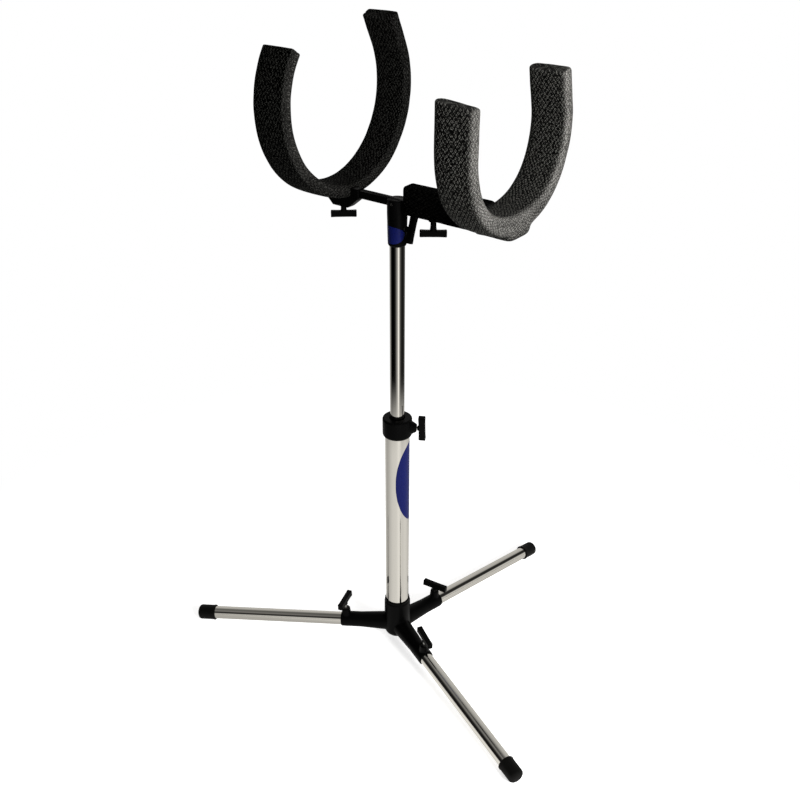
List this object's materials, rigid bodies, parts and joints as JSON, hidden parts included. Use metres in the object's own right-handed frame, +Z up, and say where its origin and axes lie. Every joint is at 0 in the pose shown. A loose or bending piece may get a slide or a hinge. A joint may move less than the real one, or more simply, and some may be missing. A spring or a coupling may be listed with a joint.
{
  "type": "hand drum stand",
  "caption": "Tripod floor stand with a telescoping chrome post and two foam-padded U cradles that slide along a cross bar",
  "frame": {"origin": "on the post's axis, at the flat underside of the hub", "axes": "+Z up the post, +X along the cross bar from the large cradle to the small one, +Y towards the rear arms of the cradles"},
  "size_m": [0.5949, 0.4888, 0.9261],
  "materials": {
    "chrome": "bright chrome plate",
    "black_plastic": "satin moulded",
    "handle_plastic": "satin moulded",
    "black_casting": "satin black coat",
    "nylon": "plain moulded",
    "rubber": "matt",
    "black_steel": "black powder coat",
    "zinc_steel": "zinc plated",
    "brass": "turned",
    "foam": "dimpled foam"
  },
  "bodies": {
    "base": {"hub": "black_plastic", "lower_tube": "chrome", "collar": "black_plastic", "collar_bush": "nylon", "collar_insert": "brass", "leg_insert_left": "brass", "leg_insert_rear": "brass", "leg_insert_front": "brass"},
    "left_leg": {"leg_left": "chrome", "foot_cap_left": "rubber"},
    "rear_leg": {"leg_rear": "chrome", "foot_cap_rear": "rubber"},
    "front_leg": {"leg_front": "chrome", "foot_cap_front": "rubber"},
    "mast": {"upper_tube": "chrome", "guide_plug": "nylon"},
    "crosshead": {"head": "black_casting", "bar": "black_steel", "bar_pin": "zinc_steel"},
    "left_cradle": {"left_carriage": "black_steel", "left_cradle_arm_front": "black_steel", "left_cradle_arm_rear": "black_steel", "left_cradle_pad": "foam", "left_clamp_insert": "brass"},
    "right_cradle": {"right_carriage": "black_steel", "right_cradle_arm_front": "black_steel", "right_cradle_arm_rear": "black_steel", "right_cradle_pad": "foam", "right_spine_pad": "foam", "right_clamp_insert": "brass"},
    "leg_screw_left": {"leg_screw_left_handle": "handle_plastic", "leg_screw_left_stud": "zinc_steel"},
    "leg_screw_rear": {"leg_screw_rear_handle": "handle_plastic", "leg_screw_rear_stud": "zinc_steel"},
    "leg_screw_front": {"leg_screw_front_handle": "handle_plastic", "leg_screw_front_stud": "zinc_steel"},
    "collar_screw": {"collar_screw_handle": "handle_plastic", "collar_screw_stud": "zinc_steel"},
    "head_screw": {"head_screw_handle": "handle_plastic", "head_screw_stud": "zinc_steel"},
    "left_clamp_screw": {"left_clamp_screw_handle": "handle_plastic", "left_clamp_screw_stud": "zinc_steel"},
    "right_clamp_screw": {"right_clamp_screw_handle": "handle_plastic", "right_clamp_screw_stud": "zinc_steel"}
  },
  "joints": [
    {"name": "left_leg_slide", "type": "slide", "parent": "base", "child": "left_leg", "axis": [-0.8763, -0.4758, -0.0758], "range_m": [-0.01, 0.03]},
    {"name": "rear_leg_slide", "type": "slide", "parent": "base", "child": "rear_leg", "axis": [0.1731, 0.982, -0.0758], "range_m": [-0.01, 0.03]},
    {"name": "front_leg_slide", "type": "slide", "parent": "base", "child": "front_leg", "axis": [0.9179, -0.3896, -0.0758], "range_m": [-0.01, 0.03]},
    {"name": "mast_height", "type": "slide", "parent": "base", "child": "mast", "axis": [0, 0, 1], "range_m": [-0.235, 0.055]},
    {"name": "head_swivel", "type": "hinge", "parent": "mast", "child": "crosshead", "pos_m": [0, 0, 0.646], "axis": [0, 0, 1], "continuous": true},
    {"name": "left_cradle_slide", "type": "slide", "parent": "crosshead", "child": "left_cradle", "axis": [1, 0, 0], "range_m": [-0.025, 0.04]},
    {"name": "right_cradle_slide", "type": "slide", "parent": "crosshead", "child": "right_cradle", "axis": [1, 0, 0], "range_m": [0, 0.06]},
    {"name": "leg_screw_left_turn", "type": "hinge", "parent": "base", "child": "leg_screw_left", "pos_m": [-0.07205, -0.03912, 0.02981], "axis": [-0.0667, -0.0362, 0.9971], "continuous": true},
    {"name": "leg_screw_rear_turn", "type": "hinge", "parent": "base", "child": "leg_screw_rear", "pos_m": [0.01416, 0.08029, 0.02383], "axis": [0.0132, 0.0747, 0.9971], "continuous": true},
    {"name": "leg_screw_front_turn", "type": "hinge", "parent": "base", "child": "leg_screw_front", "pos_m": [0.07546, -0.03203, 0.02981], "axis": [0.0698, -0.0296, 0.9971], "continuous": true},
    {"name": "collar_screw_turn", "type": "hinge", "parent": "base", "child": "collar_screw", "pos_m": [0.00879, 0.00477, 0.3765], "axis": [0.8788, 0.4772, 0], "continuous": true},
    {"name": "head_screw_turn", "type": "hinge", "parent": "crosshead", "child": "head_screw", "pos_m": [0.01, 0, 0.67], "axis": [1, 0, 0], "continuous": true},
    {"name": "left_clamp_screw_turn", "type": "hinge", "parent": "left_cradle", "child": "left_clamp_screw", "pos_m": [-0.0885, 0, 0.697], "axis": [0, 0, -1], "continuous": true},
    {"name": "right_clamp_screw_turn", "type": "hinge", "parent": "right_cradle", "child": "right_clamp_screw", "pos_m": [0.056, 0, 0.697], "axis": [0, 0, -1], "continuous": true}
  ]
}
